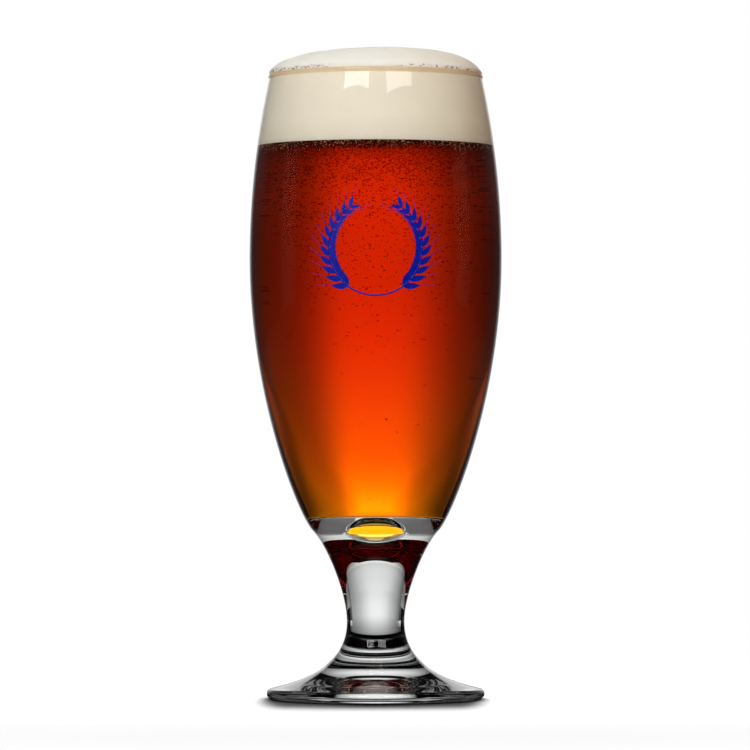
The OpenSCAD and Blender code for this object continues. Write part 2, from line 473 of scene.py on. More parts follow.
def clear_glass(name, ior, lamp_tint):
    """Soda-lime glass, blown and fire polished: colourless, mirror smooth, faintly wavy from the blowing."""
    material, add = new_material(name)
    coords = add("ShaderNodeTexCoord").outputs["Object"]
    wave = add("ShaderNodeTexNoise", {"Vector": coords, "Scale": 1 / (14 * MM), "Detail": 1.0})
    bump = add("ShaderNodeBump", {"Strength": 0.35, "Distance": 0.06 * MM, "Height": wave})
    glass = add(
        "ShaderNodeBsdfPrincipled",
        {
            "Base Color": (*srgb("#FBFDFC"), 1.0),
            "Roughness": 0.0,
            "IOR": ior,
            "Transmission Weight": 1.0,
            "Normal": bump,
        },
    )
    clear = add("ShaderNodeBsdfTransparent", {"Color": (lamp_tint,) * 3 + (1.0,)})
    add("ShaderNodeOutputMaterial", {"Surface": lamps_pass(add, glass, clear)})
    return material


def fused_glass():
    """Glass fused to glass: nothing shows where the gathers join."""
    material, add = new_material("fused_glass_joint")
    clear = add("ShaderNodeBsdfTransparent")
    add("ShaderNodeOutputMaterial", {"Surface": clear})
    return material


def amber_beer(drink):
    """Filtered red ale: clear, taking blue and green light first, so deep beer is red and thin beer gold."""
    material, add = new_material("red_amber_beer")
    coords = add("ShaderNodeTexCoord").outputs["Object"]
    height = add("ShaderNodeSeparateXYZ", {0: coords}).outputs["Z"]
    depth = add("ShaderNodeMapRange", {"Value": height, "From Min": FLOOR_H, "From Max": drink.beer_h})
    # Painted shade: the beer's tint darkens upwards, standing in for light and shade through it. It is
    # darkest under the head, where the haze of fine bubbles also dims it.
    tint = add(
        "ShaderNodeValToRGB",
        {0: depth},
        stops=[
            (0.10, (1.0, 1.0, 1.0)),
            (0.19, (1.0, 0.88, 0.5)),
            (0.32, (1.0, 0.81, 0.3)),
            (0.51, (1.0, 0.52, 0.2)),
            (0.87, (1.0, 0.54, 0.2)),
            (0.95, (0.8, 0.42, 0.16)),
            (0.985, (0.45, 0.26, 0.14)),
            (1.0, (0.4, 0.24, 0.14)),
        ],
    )
    # Fine bubbles on the wall turn light aside. They are drawn a little coarse, as dark dots in drifts.
    below = add("ShaderNodeMath", {0: drink.beer_h, 1: height}, operation="SUBTRACT")
    thinning = -1 / drink.bubble_depth
    below = add("ShaderNodeMath", {0: below, 1: thinning}, operation="MULTIPLY")
    share = add("ShaderNodeMath", {0: below}, operation="EXPONENT")
    drift = add("ShaderNodeTexNoise", {"Vector": coords, "Scale": 1 / (7 * MM), "Detail": 3.0})
    drift = add(
        "ShaderNodeMapRange",
        {"Value": drift, "From Min": 0.35, "From Max": 0.65, "To Min": 0.4, "To Max": 1.3},
    )
    share = add("ShaderNodeMath", {0: share, 1: drift}, operation="MULTIPLY")
    fizz = dots(add, unrolled(add, coords, WALL_RADIUS), drink.fizz, share, 0.5)
    fizz_colour = (0.3, 0.06, 0.04, 1.0)
    tint = add("ShaderNodeMix", {0: fizz, 6: tint, 7: fizz_colour}, data_type="RGBA").outputs[2]
    body = add(
        "ShaderNodeBsdfPrincipled",
        {"Base Color": tint, "Roughness": 0.0, "IOR": 1.0, "Transmission Weight": 1.0},
    )
    clear = add("ShaderNodeBsdfTransparent")
    taken = add(
        "ShaderNodeVolumeAbsorption", {"Color": (*drink.beer_colour, 1.0), "Density": drink.beer_density}
    )
    surface = lamps_pass(add, body, clear)
    add("ShaderNodeOutputMaterial", {"Surface": surface, "Volume": taken})
    return material


def fine_foam(drink, rim_h):
    """Head of foam, a froth of fine bubbles: matt, cream coloured, tan and specked where it has dried, with
    painted shade towards its right.
    """
    material, add = new_material("fine_beer_foam")
    coords = add("ShaderNodeTexCoord").outputs["Object"]
    across, _, height = add("ShaderNodeSeparateXYZ", {0: coords}).outputs
    ragged = add("ShaderNodeTexNoise", {"Vector": coords, "Scale": 1 / (1.6 * MM), "Detail": 3.0})
    height = add("ShaderNodeMath", {0: ragged, 1: 1.1 * MM, 2: height}, operation="MULTIPLY_ADD")
    low, span = drink.beer_h, drink.crown_h - drink.beer_h
    share = add("ShaderNodeMapRange", {"Value": height, "From Min": low, "From Max": low + span})
    ring = (rim_h - low) / span
    tone = add(
        "ShaderNodeValToRGB",
        {0: share},
        stops=[
            (0.0, tuple(0.72 * c for c in drink.foam_colour)),
            (0.07, tuple(0.9 * c for c in drink.foam_colour)),
            (0.25, tuple(drink.foam_colour)),
            (ring - 0.062, tuple(drink.foam_colour)),
            (ring - 0.018, tuple(drink.ring_colour)),
            (ring, tuple(drink.ring_colour)),
            (ring + 0.016, tuple(drink.crown_colour)),
        ],
    )
    # Painted shade: the head is darker and warmer towards the right, where less light falls on it.
    across = add("ShaderNodeMapRange", {"Value": across, "From Min": -WALL_RADIUS, "From Max": WALL_RADIUS})
    painted_right_shade = add(
        "ShaderNodeValToRGB",
        {0: across},
        stops=[
            (0.5, (1.0, 1.0, 1.0)),
            (0.75, (1.0, 0.96, 0.92)),
            (0.85, (1.0, 0.93, 0.86)),
            (0.97, (0.9, 0.74, 0.62)),
        ],
    )
    mottle = add(
        "ShaderNodeTexNoise", {"Vector": coords, "Scale": 1 / (5 * MM), "Detail": 4.0, "Roughness": 0.6}
    )
    mottle = add("ShaderNodeMapRange", {"Value": mottle, "From Min": 0.3, "From Max": 0.7, "To Min": 0.955})
    for layer in (painted_right_shade, mottle):
        tone = add(
            "ShaderNodeMix", {0: 1.0, 6: tone, 7: layer}, data_type="RGBA", blend_type="MULTIPLY"
        ).outputs[2]
    # Dry specks sit along the ring's upper edge, most of them to the sides.
    often = add(
        "ShaderNodeValToRGB",
        {0: across},
        stops=[(0.08, 0.75), (0.2, 0.55), (0.33, 0.2), (0.45, 0.02), (0.55, 0.05), (0.68, 0.5), (0.9, 0.9)],
    )
    speck = dots(add, coords, 0.6 * MM, often, 0.55, "3D")
    zone = add(
        "ShaderNodeValToRGB",
        {0: share},
        stops=[(ring + 0.002, 0.0), (ring + 0.008, 0.95), (ring + 0.03, 0.95), (ring + 0.04, 0.0)],
    )
    speck = add("ShaderNodeMath", {0: speck, 1: zone}, operation="MULTIPLY")
    tone = add(
        "ShaderNodeMix", {0: speck, 6: tone, 7: (*drink.speck_colour, 1.0)}, data_type="RGBA"
    ).outputs[2]
    froth = add("ShaderNodeTexVoronoi", {"Vector": coords, "Scale": 1 / (0.55 * MM)}, feature="SMOOTH_F1")
    bump = add("ShaderNodeBump", {"Strength": 0.3, "Distance": 0.12 * MM, "Height": froth})
    foam = add(
        "ShaderNodeBsdfPrincipled",
        {"Base Color": tone, "Roughness": 0.85, "Specular IOR Level": 0.25, "Normal": bump},
    )
    add("ShaderNodeOutputMaterial", {"Surface": foam})
    return material


def soaked_foam():
    """Underside of the head, soaked in beer, in painted shade: dark brown near the wall and paler towards
    the middle.
    """
    material, add = new_material("soaked_foam")
    coords = add("ShaderNodeTexCoord").outputs["Object"]
    lot = add("ShaderNodeTexNoise", {"Vector": coords, "Scale": 1 / (3 * MM), "Detail": 3.0})
    tone = add("ShaderNodeValToRGB", {0: lot}, stops=[(0.35, srgb("#2C140B")), (0.65, srgb("#4A2616"))])
    # Painted light: the underside is paler away from the wall.
    level = add("ShaderNodeVectorMath", {0: coords, 1: (1.0, 1.0, 0.0)}, operation="MULTIPLY")
    away = add("ShaderNodeVectorMath", {0: level}, operation="LENGTH").outputs["Value"]
    paler_middle = add("ShaderNodeMapRange", {"Value": away, "From Min": 31 * MM, "From Max": 22 * MM})
    tone = add(
        "ShaderNodeMix", {0: paler_middle, 6: tone, 7: (*srgb("#A86A45"), 1.0)}, data_type="RGBA"
    ).outputs[2]
    foam = add("ShaderNodeBsdfPrincipled", {"Base Color": tone, "Roughness": 0.7})
    add("ShaderNodeOutputMaterial", {"Surface": foam})
    return material


def bubble_skin(name, glint_or_foam):
    """Skin of a small bubble in beer: dark where it turns light aside, a painted shade, and pale in patches:
    a painted glint in the beer, foam along the head.
    """
    material, add = new_material(name)
    coords = add("ShaderNodeTexCoord").outputs["Object"]
    lot = add("ShaderNodeTexNoise", {"Vector": coords, "Scale": 1 / (0.5 * MM)})
    tone = add(
        "ShaderNodeValToRGB",
        {0: lot},
        stops=[(0.4, srgb("#1E0602")), (0.55, srgb("#4A1408")), (0.66, srgb(glint_or_foam))],
    )
    skin = add("ShaderNodeBsdfPrincipled", {"Base Color": tone, "Roughness": 0.25, "IOR": 1.33})
    add("ShaderNodeOutputMaterial", {"Surface": skin})
    return material


def fired_enamel(ink):
    """Glass enamel, screen printed and fired: even, glossy, a little thinner here and there."""
    material, add = new_material("fired_blue_enamel")
    coords = add("ShaderNodeTexCoord").outputs["Object"]
    lot = add("ShaderNodeTexNoise", {"Vector": coords, "Scale": 1 / (1.2 * MM), "Detail": 3.0})
    thin = tuple(min(1.0, 1.25 * c + 0.004) for c in ink)
    tone = add("ShaderNodeValToRGB", {0: lot}, stops=[(0.4, tuple(ink)), (0.7, thin)])
    gloss = add("ShaderNodeMapRange", {"Value": lot, "To Min": 0.22, "To Max": 0.4})
    enamel = add("ShaderNodeBsdfPrincipled", {"Base Color": tone, "Roughness": gloss, "IOR": 1.5})
    add("ShaderNodeOutputMaterial", {"Surface": enamel})
    return material


def bubble_tree():
    """Geometry nodes that set small bubbles just inside the wall of the beer, thinning out downwards."""
    sizes = dict.fromkeys(("Top", "Depth", "Density", "Least radius", "Largest radius"), "Float")
    inputs = {"Beer": "Geometry", **sizes, "Seed": "Int", "Finish": "Material"}
    tree, add, given = new_tree("rising_bubbles", inputs, "Bubbles")
    place = add("GeometryNodeInputPosition")
    height = add("ShaderNodeSeparateXYZ", {0: place}).outputs["Z"]
    below = add("ShaderNodeMath", {0: height, 1: given["Top"]}, operation="SUBTRACT")
    below = add("ShaderNodeMath", {0: below, 1: given["Depth"]}, operation="DIVIDE")
    share = add("ShaderNodeMath", {0: below}, operation="EXPONENT")
    # Bubbles gather in drifts.
    drift = add("ShaderNodeTexNoise", {"Vector": place, "Scale": 1 / (12 * MM), "Detail": 2.0})
    drift = add(
        "ShaderNodeMapRange",
        {"Value": drift, "From Min": 0.35, "From Max": 0.65, "To Min": 0.35, "To Max": 1.3},
    )
    share = add("ShaderNodeMath", {0: share, 1: drift}, operation="MULTIPLY")
    density = add("ShaderNodeMath", {0: share, 1: given["Density"]}, operation="MULTIPLY")
    normal = add("GeometryNodeInputNormal")
    lean = add("ShaderNodeSeparateXYZ", {0: normal}).outputs["Z"]
    lean = add("ShaderNodeMath", {0: lean}, operation="ABSOLUTE")
    # The level top carries none.
    upright = add("FunctionNodeCompare", {0: lean, 1: 0.8}, operation="LESS_THAN")
    spread = add(
        "GeometryNodeDistributePointsOnFaces",
        {"Mesh": given["Beer"], "Selection": upright, "Density": density, "Seed": given["Seed"]},
    ).outputs
    radius = add(
        "FunctionNodeRandomValue", {2: given["Least radius"], 3: given["Largest radius"], 8: given["Seed"]}
    ).outputs[1]
    inward = add("ShaderNodeMath", {0: radius, 1: -1.2, 2: -0.02 * MM}, operation="MULTIPLY_ADD")
    inward = add("ShaderNodeVectorMath", {0: spread["Normal"], "Scale": inward}, operation="SCALE")
    points = add("GeometryNodeSetPosition", {"Geometry": spread["Points"], "Offset": inward})
    ball = add("GeometryNodeMeshUVSphere", {"Segments": 4, "Rings": 2, "Radius": 1.0})
    balls = add("GeometryNodeInstanceOnPoints", {"Points": points, "Instance": ball, "Scale": radius})
    body = add("GeometryNodeRealizeInstances", {"Geometry": balls})
    body = add("GeometryNodeSetShadeSmooth", {"Geometry": body})
    body = add("GeometryNodeSetMaterial", {"Geometry": body, "Material": given["Finish"]})
    add("NodeGroupOutput", {0: body})
    return tree


def wreath_tree():
    """Geometry nodes that set grains along the line of an ear, mirror it and lay both on the glass."""
    sizes = dict.fromkeys(("Splay", "Bare share", "Line", "Film", "Middle height"), "Float")
    inputs = {"Ear": "Geometry", "Grain": "Object", "Glass": "Object", "Pairs": "Int", **sizes}
    tree, add, given = new_tree("barley_wreath", {**inputs, "Finish": "Material"}, "Print")
    line = add("GeometryNodeMeshToCurve", {0: given["Ear"]})
    profile = add(
        "GeometryNodeCurvePrimitiveQuadrilateral", {"Width": given["Line"], "Height": given["Film"]}
    )
    stalk = add("GeometryNodeCurveToMesh", {"Curve": line, "Profile Curve": profile, "Fill Caps": True})
    places = add("GeometryNodeResampleCurve", {"Curve": line, "Count": given["Pairs"]})
    tangent = add("GeometryNodeInputTangent")
    ahead = add("ShaderNodeSeparateXYZ", {0: tangent}).outputs
    aim = add("ShaderNodeMath", {0: ahead["Y"], 1: ahead["X"]}, operation="ARCTAN2")
    share = add("GeometryNodeSplineParameter").outputs["Factor"]
    bearing = add("FunctionNodeCompare", {0: share, 1: given["Bare share"]}, operation="GREATER_EQUAL")
    size = add("ShaderNodeMapRange", {"Value": share, "From Min": 0.3, "To Min": 1.05, "To Max": 0.72})
    grain = add("GeometryNodeObjectInfo", {"Object": given["Grain"]}).outputs["Geometry"]
    parts = [stalk]
    for side in (1.0, -1.0):
        turn = add("ShaderNodeMath", {0: given["Splay"], 1: side, 2: aim}, operation="MULTIPLY_ADD")
        turn = add("ShaderNodeCombineXYZ", {"Z": turn})
        parts.append(
            add(
                "GeometryNodeInstanceOnPoints",
                {"Points": places, "Selection": bearing, "Instance": grain, "Rotation": turn, "Scale": size},
            )
        )
    join = add("GeometryNodeJoinGeometry")
    for part in parts:
        tree.links.new(part.outputs[0], join.inputs[0])
    ear = add("GeometryNodeRealizeInstances", {"Geometry": join})
    other = add("GeometryNodeTransform", {"Geometry": ear, "Scale": (-1.0, 1.0, 1.0)})
    other = add("GeometryNodeFlipFaces", {0: other})
    pair = add("GeometryNodeJoinGeometry")
    for half in (ear, other):
        tree.links.new(half.outputs[0], pair.inputs[0])
    # From the flat layout to the glass: across becomes a turn, up becomes height, the film lies on the wall.
    place = add("GeometryNodeInputPosition")
    across, up, film = add("ShaderNodeSeparateXYZ", {0: place}).outputs
    height = add("ShaderNodeMath", {0: up, 1: given["Middle height"]}, operation="ADD")
    turn = add("ShaderNodeMath", {0: across, 1: BOWL_HIGH.y}, operation="DIVIDE")
    outward = add(
        "ShaderNodeVectorRotate", {"Vector": (0.0, -1.0, 0.0), "Angle": turn}, rotation_type="Z_AXIS"
    )
    axis = add("ShaderNodeCombineXYZ", {"Z": height})
    start = add(
        "ShaderNodeVectorMath", {0: outward, 1: (2 * BOWL_HIGH.y,) * 3, 2: axis}, operation="MULTIPLY_ADD"
    )
    inward = add("ShaderNodeVectorMath", {0: outward, "Scale": -1.0}, operation="SCALE")
    wall = add("GeometryNodeObjectInfo", {"Object": given["Glass"]}).outputs["Geometry"]
    hit = add(
        "GeometryNodeRaycast", {"Target Geometry": wall, "Source Position": start, "Ray Direction": inward}
    ).outputs
    stand = add("ShaderNodeMath", {0: film, 1: given["Film"]}, operation="ADD")
    proud = add("ShaderNodeVectorMath", {0: hit["Hit Normal"], "Scale": stand}, operation="SCALE")
    laid = add("ShaderNodeVectorMath", {0: hit["Hit Position"], 1: proud}, operation="ADD")
    body = add("GeometryNodeSetPosition", {"Geometry": pair, "Position": laid})
    body = add("GeometryNodeSetMaterial", {"Geometry": body, "Material": given["Finish"]})
    add("NodeGroupOutput", {0: body})
    return tree


def link(name, data):
    """A new object in the scene, of a mesh, a lamp or a camera."""
    obj = bpy.data.objects.new(name, data)
    bpy.context.scene.collection.objects.link(obj)
    return obj


def face_outwards(mesh):
    edit = bmesh.new()
    edit.from_mesh(mesh)
    bmesh.ops.recalc_face_normals(edit, faces=edit.faces)
    edit.to_mesh(mesh)
    edit.free()


def settings():
    scene = bpy.context.scene
    return scene.glass_sizes, scene.drink_settings, scene.print_settings, scene.stage_settings


def place_piece(piece, slot, *nodes):
    """Gives a finished piece its body and hides the nodes that it stands for; slot is not used."""
    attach(piece, BODY)
    if nodes:
        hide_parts(*nodes)


class GLASS_OT_glass(bpy.types.Operator):
    """Make the bowl, the stem and the foot, which are fused into one glass"""

    bl_idname = "glass.make_glass"
    bl_label = "Glass"

    def execute(self, context):
        sizes, drink, _, _ = settings()
        outline = Outline(sizes, drink)
        low, high = sizes.foot_joint_h, sizes.bowl_joint_h
        finishes = (
            clear_glass("fire_polished_glass", GLASS_IOR, 1.0),
            clear_glass("wetted_glass", GLASS_IOR / BEER_IOR, 1.0),
            fused_glass(),
        )
        # The thick foot lets little of the lamps' light through to the table.
        heavy = (clear_glass("heavy_foot_glass", GLASS_IOR, 0.2),) + finishes[1:]
        foot_side = between(outline.outer, 0.0, low)
        stem_side = between(outline.outer, low, high)
        bowl_side = between(outline.outer, high, sizes.rim_h)
        inside = list(reversed(outline.inner + outline.rim_inside))
        low_middle, high_middle = Vector((0, low)), Vector((0, high))
        stretches = {
            "foot": [(outline.underside, DRY), (foot_side, DRY), ([low_middle], JOINT)],
            "stem": [([low_middle, stem_side[0]], JOINT), (stem_side, DRY), ([high_middle], JOINT)],
            "bowl": [
                ([high_middle, bowl_side[0]], JOINT), (bowl_side + outline.rim_outside, DRY), (inside, WET)
            ],
        }
        for node, sides in stretches.items():
            glass = heavy if node == "foot" else finishes
            place_piece(turned_body(f"glass_{node}", sides, sizes.facets, glass), "clear_glass", node)
        return {"FINISHED"}


class GLASS_OT_drink(bpy.types.Operator):
    """Make the beer and the head of foam"""

    bl_idname = "glass.make_drink"
    bl_label = "Beer and foam"

    def execute(self, context):
        sizes, drink, _, _ = settings()
        outline = Outline(sizes, drink)
        gap = drink.contact_gap
        inside = inset(outline.inner + outline.rim_inside, gap)
        beer_side = between(inside, 0.0, drink.beer_h - gap)
        beer_finish = amber_beer(drink)
        beer = turned_body(
            "beer_body",
            [(beer_side, DRY), ([Vector((0, drink.beer_h - gap))], DRY)],
            sizes.facets,
            (beer_finish, beer_finish, beer_finish),
        )
        start = next(i for i, p in enumerate(inside) if p.y > drink.beer_h)
        below, above = inside[start - 1], inside[start]
        foam_low = below.lerp(above, (drink.beer_h - below.y) / (above.y - below.y))
        foam_finish = fine_foam(drink, sizes.rim_h)
        # The foam's underside takes the soaked foam in painted shade.
        foam = turned_body(
            "foam_body",
            [
                ([Vector((0, drink.beer_h)), foam_low], WET),
                (inside[start:] + outline.crown, DRY),
            ],
            sizes.facets,
            (foam_finish, soaked_foam(), foam_finish),
        )
        self.settle_crown(foam.data, outline.crown[0], drink.crown_h)
        # The lamps' light passes the drink, so that only the heavy foot shades the table.
        beer.visible_shadow = False
        foam.visible_shadow = False
        place_piece(beer, "beer", "beer")
        place_piece(foam, "foam", "foam_head")
        return {"FINISHED"}

    def settle_crown(self, mesh, edge, top):
        """Gives the crown its uneven set: flat on top, a full shoulder on the right, and small swells."""
        # How flat the top is and how full the shoulder, on the right and on the left.
        full, slack = (4.4, 1.35), (2.4, 1.9)
        swell_height, swell_width, settled = 0.35 * MM, 9 * MM, 0.3 * MM
        for vertex in mesh.vertices:
            p = vertex.co
            if p.z < edge.y:
                continue
            away = min(1.0, math.hypot(p.x, p.y) / edge.x)
            right = 0.5 + 0.5 * math.cos(math.atan2(p.y, p.x))
            flat, drop = (s + (f - s) * right for f, s in zip(full, slack))
            rise = (1 - away**flat) ** (1 / drop)
            swell = swell_height * noise.noise(p / swell_width) * (1 - away**6)
            p.z = edge.y + (top - settled - edge.y) * rise + swell


class GLASS_OT_bubbles(bpy.types.Operator):
    """Make the fine bubbles that hang under the head of foam"""

    bl_idname = "glass.make_bubbles"
    bl_label = "Bubbles"

    def execute(self, context):
        drink = settings()[1]
        per_square_metre = drink.bubbles * 1e4
        # Drifts that thin out downwards, and a dense layer along the foam.
        for name, depth, density, seed, glint_or_foam in (
            ("beer_bubbles", drink.bubble_depth, per_square_metre, 11, "#7A2A18"),
            ("foam_line_bubbles", 0.6 * MM, 260 * per_square_metre, 23, "#E8D2B0"),
        ):
            bubbles = link(name, bpy.data.objects["beer_body"].data.copy())
            inputs = {
                "Top": drink.beer_h,
                "Depth": depth,
                "Density": density,
                "Least radius": drink.bubble_least,
                "Largest radius": drink.bubble_most,
                "Seed": seed,
                "Finish": bubble_skin(f"{name}_skin", glint_or_foam),
            }
            apply_tree(bubbles, bubble_tree(), inputs)
            bubbles.visible_shadow = False
            place_piece(bubbles, "beer")
        return {"FINISHED"}


class GLASS_OT_print(bpy.types.Operator):
    """Make the wreath of barley that is printed on the bowl's front"""

    bl_idname = "glass.make_print"
    bl_label = "Print"

    def execute(self, context):
        art = settings()[2]
        # An ear runs from just past the lowest place up one side, and its first part is bare stalk.
        steps, first, last = 40, math.radians(-99), math.radians(56)
        splay, bare_share = math.radians(32), 0.26
        turns = [first + (last - first) * i / steps for i in range(steps + 1)]
        mesh = bpy.data.meshes.new("barley_wreath")
        mesh.from_pydata(
            [(art.reach * math.cos(a), art.reach * math.sin(a), 0.0) for a in turns],
            [(i, i + 1) for i in range(steps)],
            [],
        )
        wreath = link("barley_wreath", mesh)
        grain = link("grain", self.grain_mesh(art))
        inputs = {
            "Grain": grain,
            "Glass": bpy.data.objects["glass_bowl"],
            "Pairs": art.pairs,
            "Splay": splay,
            "Bare share": bare_share,
            "Line": art.line,
            "Film": art.film,
            "Middle height": art.middle_h,
            "Finish": fired_enamel(art.ink),
        }
        apply_tree(wreath, wreath_tree(), inputs)
        bpy.data.objects.remove(grain)
        face_outwards(wreath.data)
        place_piece(wreath, "print")
        return {"FINISHED"}

    def grain_mesh(self, art):
        """One flat grain with its awn, pointing along X: a closed film of colour."""
        long, wide, awn, tip = art.grain, 0.37 * art.grain, 1.9 * art.grain, 0.09 * MM
        swell = [i / 6 for i in range(1, 6)]
        side = [(long * t, wide * math.sin(math.pi * t**0.8) / 2) for t in swell]
        side = [(x, max(y, tip)) for x, y in side] + [(long, tip), (awn, tip / 2)]
        outline = [(0.0, 0.0)] + [(x, -y) for x, y in side] + [(x, y) for x, y in reversed(side)]
        count = len(outline)
        mesh = bpy.data.meshes.new("grain")
        low = [(x, y, -art.film / 2) for x, y in outline]
        high = [(x, y, art.film / 2) for x, y in outline]
        walls = [(i, (i + 1) % count, count + (i + 1) % count, count + i) for i in range(count)]
        mesh.from_pydata(
            low + high, [], walls + [tuple(range(count - 1, -1, -1)), tuple(range(count, 2 * count))]
        )
        return mesh


class GLASS_OT_stage(bpy.types.Operator):
    """Make the table, the studio light and the camera"""

    bl_idname = "glass.make_stage"
    bl_label = "Stage"

    def execute(self, context):
        stage = settings()[-1]
        scene = context.scene
        scene.view_settings.view_transform = "Standard"
        scene.cycles.max_bounces = 24
        scene.cycles.transmission_bounces = 24
        scene.cycles.glossy_bounces = 12
        scene.cycles.transparent_max_bounces = 24
        self.make_table()
        self.make_cards()
        self.make_world(scene)
        self.make_lamps()
        self.make_camera(scene, stage)
        return {"FINISHED"}

    def make_table(self):
        # It lies a hair under the foot, so that no two faces share a plane.
        radius, under = 1.6, Matrix.Translation((0, 0, -0.05 * MM))
        mesh = bpy.data.meshes.new("table_top")
        edit = bmesh.new()
        bmesh.ops.create_circle(edit, cap_ends=True, segments=96, radius=radius, matrix=under)
        edit.to_mesh(mesh)
        edit.free()
        mesh.materials.append(self.table_material())
        table = link("table_top", mesh)
        table.visible_glossy = False

    def table_material(self):
        """Smooth white laminate: matt and even, with a painted shadow round the foot, and lost in the
        backdrop further off.
        """
        material, add = new_material("white_table")
        coords = add("ShaderNodeTexCoord").outputs["Object"]
        away = add("ShaderNodeVectorMath", {0: coords}, operation="LENGTH").outputs["Value"]
        far = add("ShaderNodeMapRange", {"Value": away, "From Min": 0.1, "From Max": 0.28})
        # A painted shadow of the whole glass darkens the table round the foot and in front of it. The middle
        # of the shade lies a little to the left and in front, and it fades out to both sides and along its
        # depth.
        off_middle = (1 * MM, 15 * MM, 0.0)
        full_to, ends_at, per_metre, edge = 25.4 * MM, 40.6 * MM, 10.0, 0.78
        under = add("ShaderNodeVectorMath", {0: coords, 1: off_middle})
        under = add("ShaderNodeVectorMath", {0: under}, operation="ABSOLUTE")
        across, along, _ = add("ShaderNodeSeparateXYZ", {0: under}).outputs
        across = add(
            "ShaderNodeMapRange",
            {"Value": across, "From Min": full_to, "From Max": ends_at, "To Max": edge},
        )
        along = add("ShaderNodeMath", {0: along, 1: per_metre}, operation="MULTIPLY")
        under = add("ShaderNodeCombineXYZ", {0: across, 1: along})
        under = add("ShaderNodeVectorMath", {0: under}, operation="LENGTH").outputs["Value"]
        painted_contact_shadow = add(
            "ShaderNodeValToRGB",
            {0: under},
            stops=[
                (0.22, 0.08), (0.3, 0.14), (0.34, 0.22), (0.4, 0.36), (0.47, 0.59), (0.6, 0.9), (edge, 1.0)
            ],
        )
        # Painted shade: seen through the glass the table is darker, the more so near the foot.
        seen = add("ShaderNodeLightPath").outputs["Is Camera Ray"]
        painted_shade_through_glass = add(
            "ShaderNodeValToRGB", {0: away}, stops=[(0.03, 0.01), (0.06, 0.02), (0.11, 0.03), (0.2, 0.16)]
        )
        # The lamp behind the glass brings this grey up to white.
        lamp_grey = 0.5
        lit = add("ShaderNodeMath", {0: painted_contact_shadow, 1: lamp_grey}, operation="MULTIPLY")
        grey = add("ShaderNodeMix", {0: seen, 2: painted_shade_through_glass, 3: lit})
        matt = add("ShaderNodeBsdfDiffuse", {"Color": grey})
        white = add("ShaderNodeEmission", {"Strength": 1.0})
        share = add("ShaderNodeMath", {0: seen, 1: far}, operation="MULTIPLY")
        mixed = add("ShaderNodeMixShader", {0: share, 1: matt, 2: white})
        add("ShaderNodeOutputMaterial", {"Surface": mixed})
        return material

    def make_cards(self):
        """Curved cards behind the stem, white and black, which only the light bent by the glass meets."""
        # Lower and upper edge as distance from the axis and height, first and last azimuth, how fast the
        # card falls off to its sides, how far its upper edge rises there, and brightness by height, in
        # millimetres and degrees. The high card stands close behind the stem, and the flags under the heel
        # shade what is seen beside the dip. The wings darken the foot's edge, and the black disc under the
        # foot is a painted shadow of the floor, which the foot's edge also mirrors.
        flag = ((16.5, 47.2), (22.2, 54.6))
        dim = ((47, 0.2), (50, 0.14), (52, 0.17), (53.5, 0.4), (54.5, 0.5))
        wing, black = ((45, 0.5), (45, 40)), ((0, 0.0), (1, 0.0))
        cards = {
            "low_card": (
                (100, 1), (100, 72), -41, 41, 1.0, 0.0,
                ((1, 0.5), (12, 0.64), (26, 0.86), (34, 0.99), (48, 0.97), (60, 0.87)),
            ),
            "strip_card": ((60, 0.5), (60, 9.5), -41, 41, 1.0, 0.0, ((0.5, 0.3), (3, 0.38), (9, 0.5))),
            "high_card": (
                (32, 43), (32, 59.2), -28.5, 28.5, 1.45, 5.5,
                (
                    (43, 0.87), (48, 0.82), (54, 0.8), (57, 0.72),
                    (58, 0.95), (59.2, 1.0), (60.5, 0.75), (64, 0.85),
                ),
            ),
            "left_flag": (*flag, -22, -9.5, 0.0, 0.0, dim),
            "right_flag": (*flag, 8, 20, 0.0, 0.0, dim),
            "left_wing": (*wing, -80, -41, 0.0, 0.0, black),
            "right_wing": (*wing, 41, 80, 0.0, 0.0, black),
            "floor_shade": ((0.5, -0.03), (60, -0.03), -180, 180, 0.0, 0.0, black),
        }
        # The upper edge is level up to the one azimuth, and wholly lifted after so many degrees more.
        steps, level_to, lifted_by = 40, 7, 9
        for name, (low, high, first, last, falloff, lift, heights) in cards.items():
            points = []
            for i in range(steps + 1):
                azimuth = first + (last - first) * i / steps
                a = math.radians(azimuth)
                top = high[1] + lift * min(1.0, max(0.0, (abs(azimuth) - level_to) / lifted_by))
                for r, z in (low, (high[0], top)):
                    points.append((r * math.sin(a) * MM, r * math.cos(a) * MM, z * MM))
            mesh = bpy.data.meshes.new(name)
            mesh.from_pydata(points, [], [(2 * i, 2 * i + 2, 2 * i + 3, 2 * i + 1) for i in range(steps)])
            card = link(name, mesh)
            mesh.materials.append(self.card_material(falloff, heights))
            for kind in ("camera", "diffuse", "shadow", "volume_scatter"):
                setattr(card, f"visible_{kind}", False)
            # The black disc of painted shadow under the foot also shows mirrored in the glass.
            card.visible_glossy = name == "floor_shade"

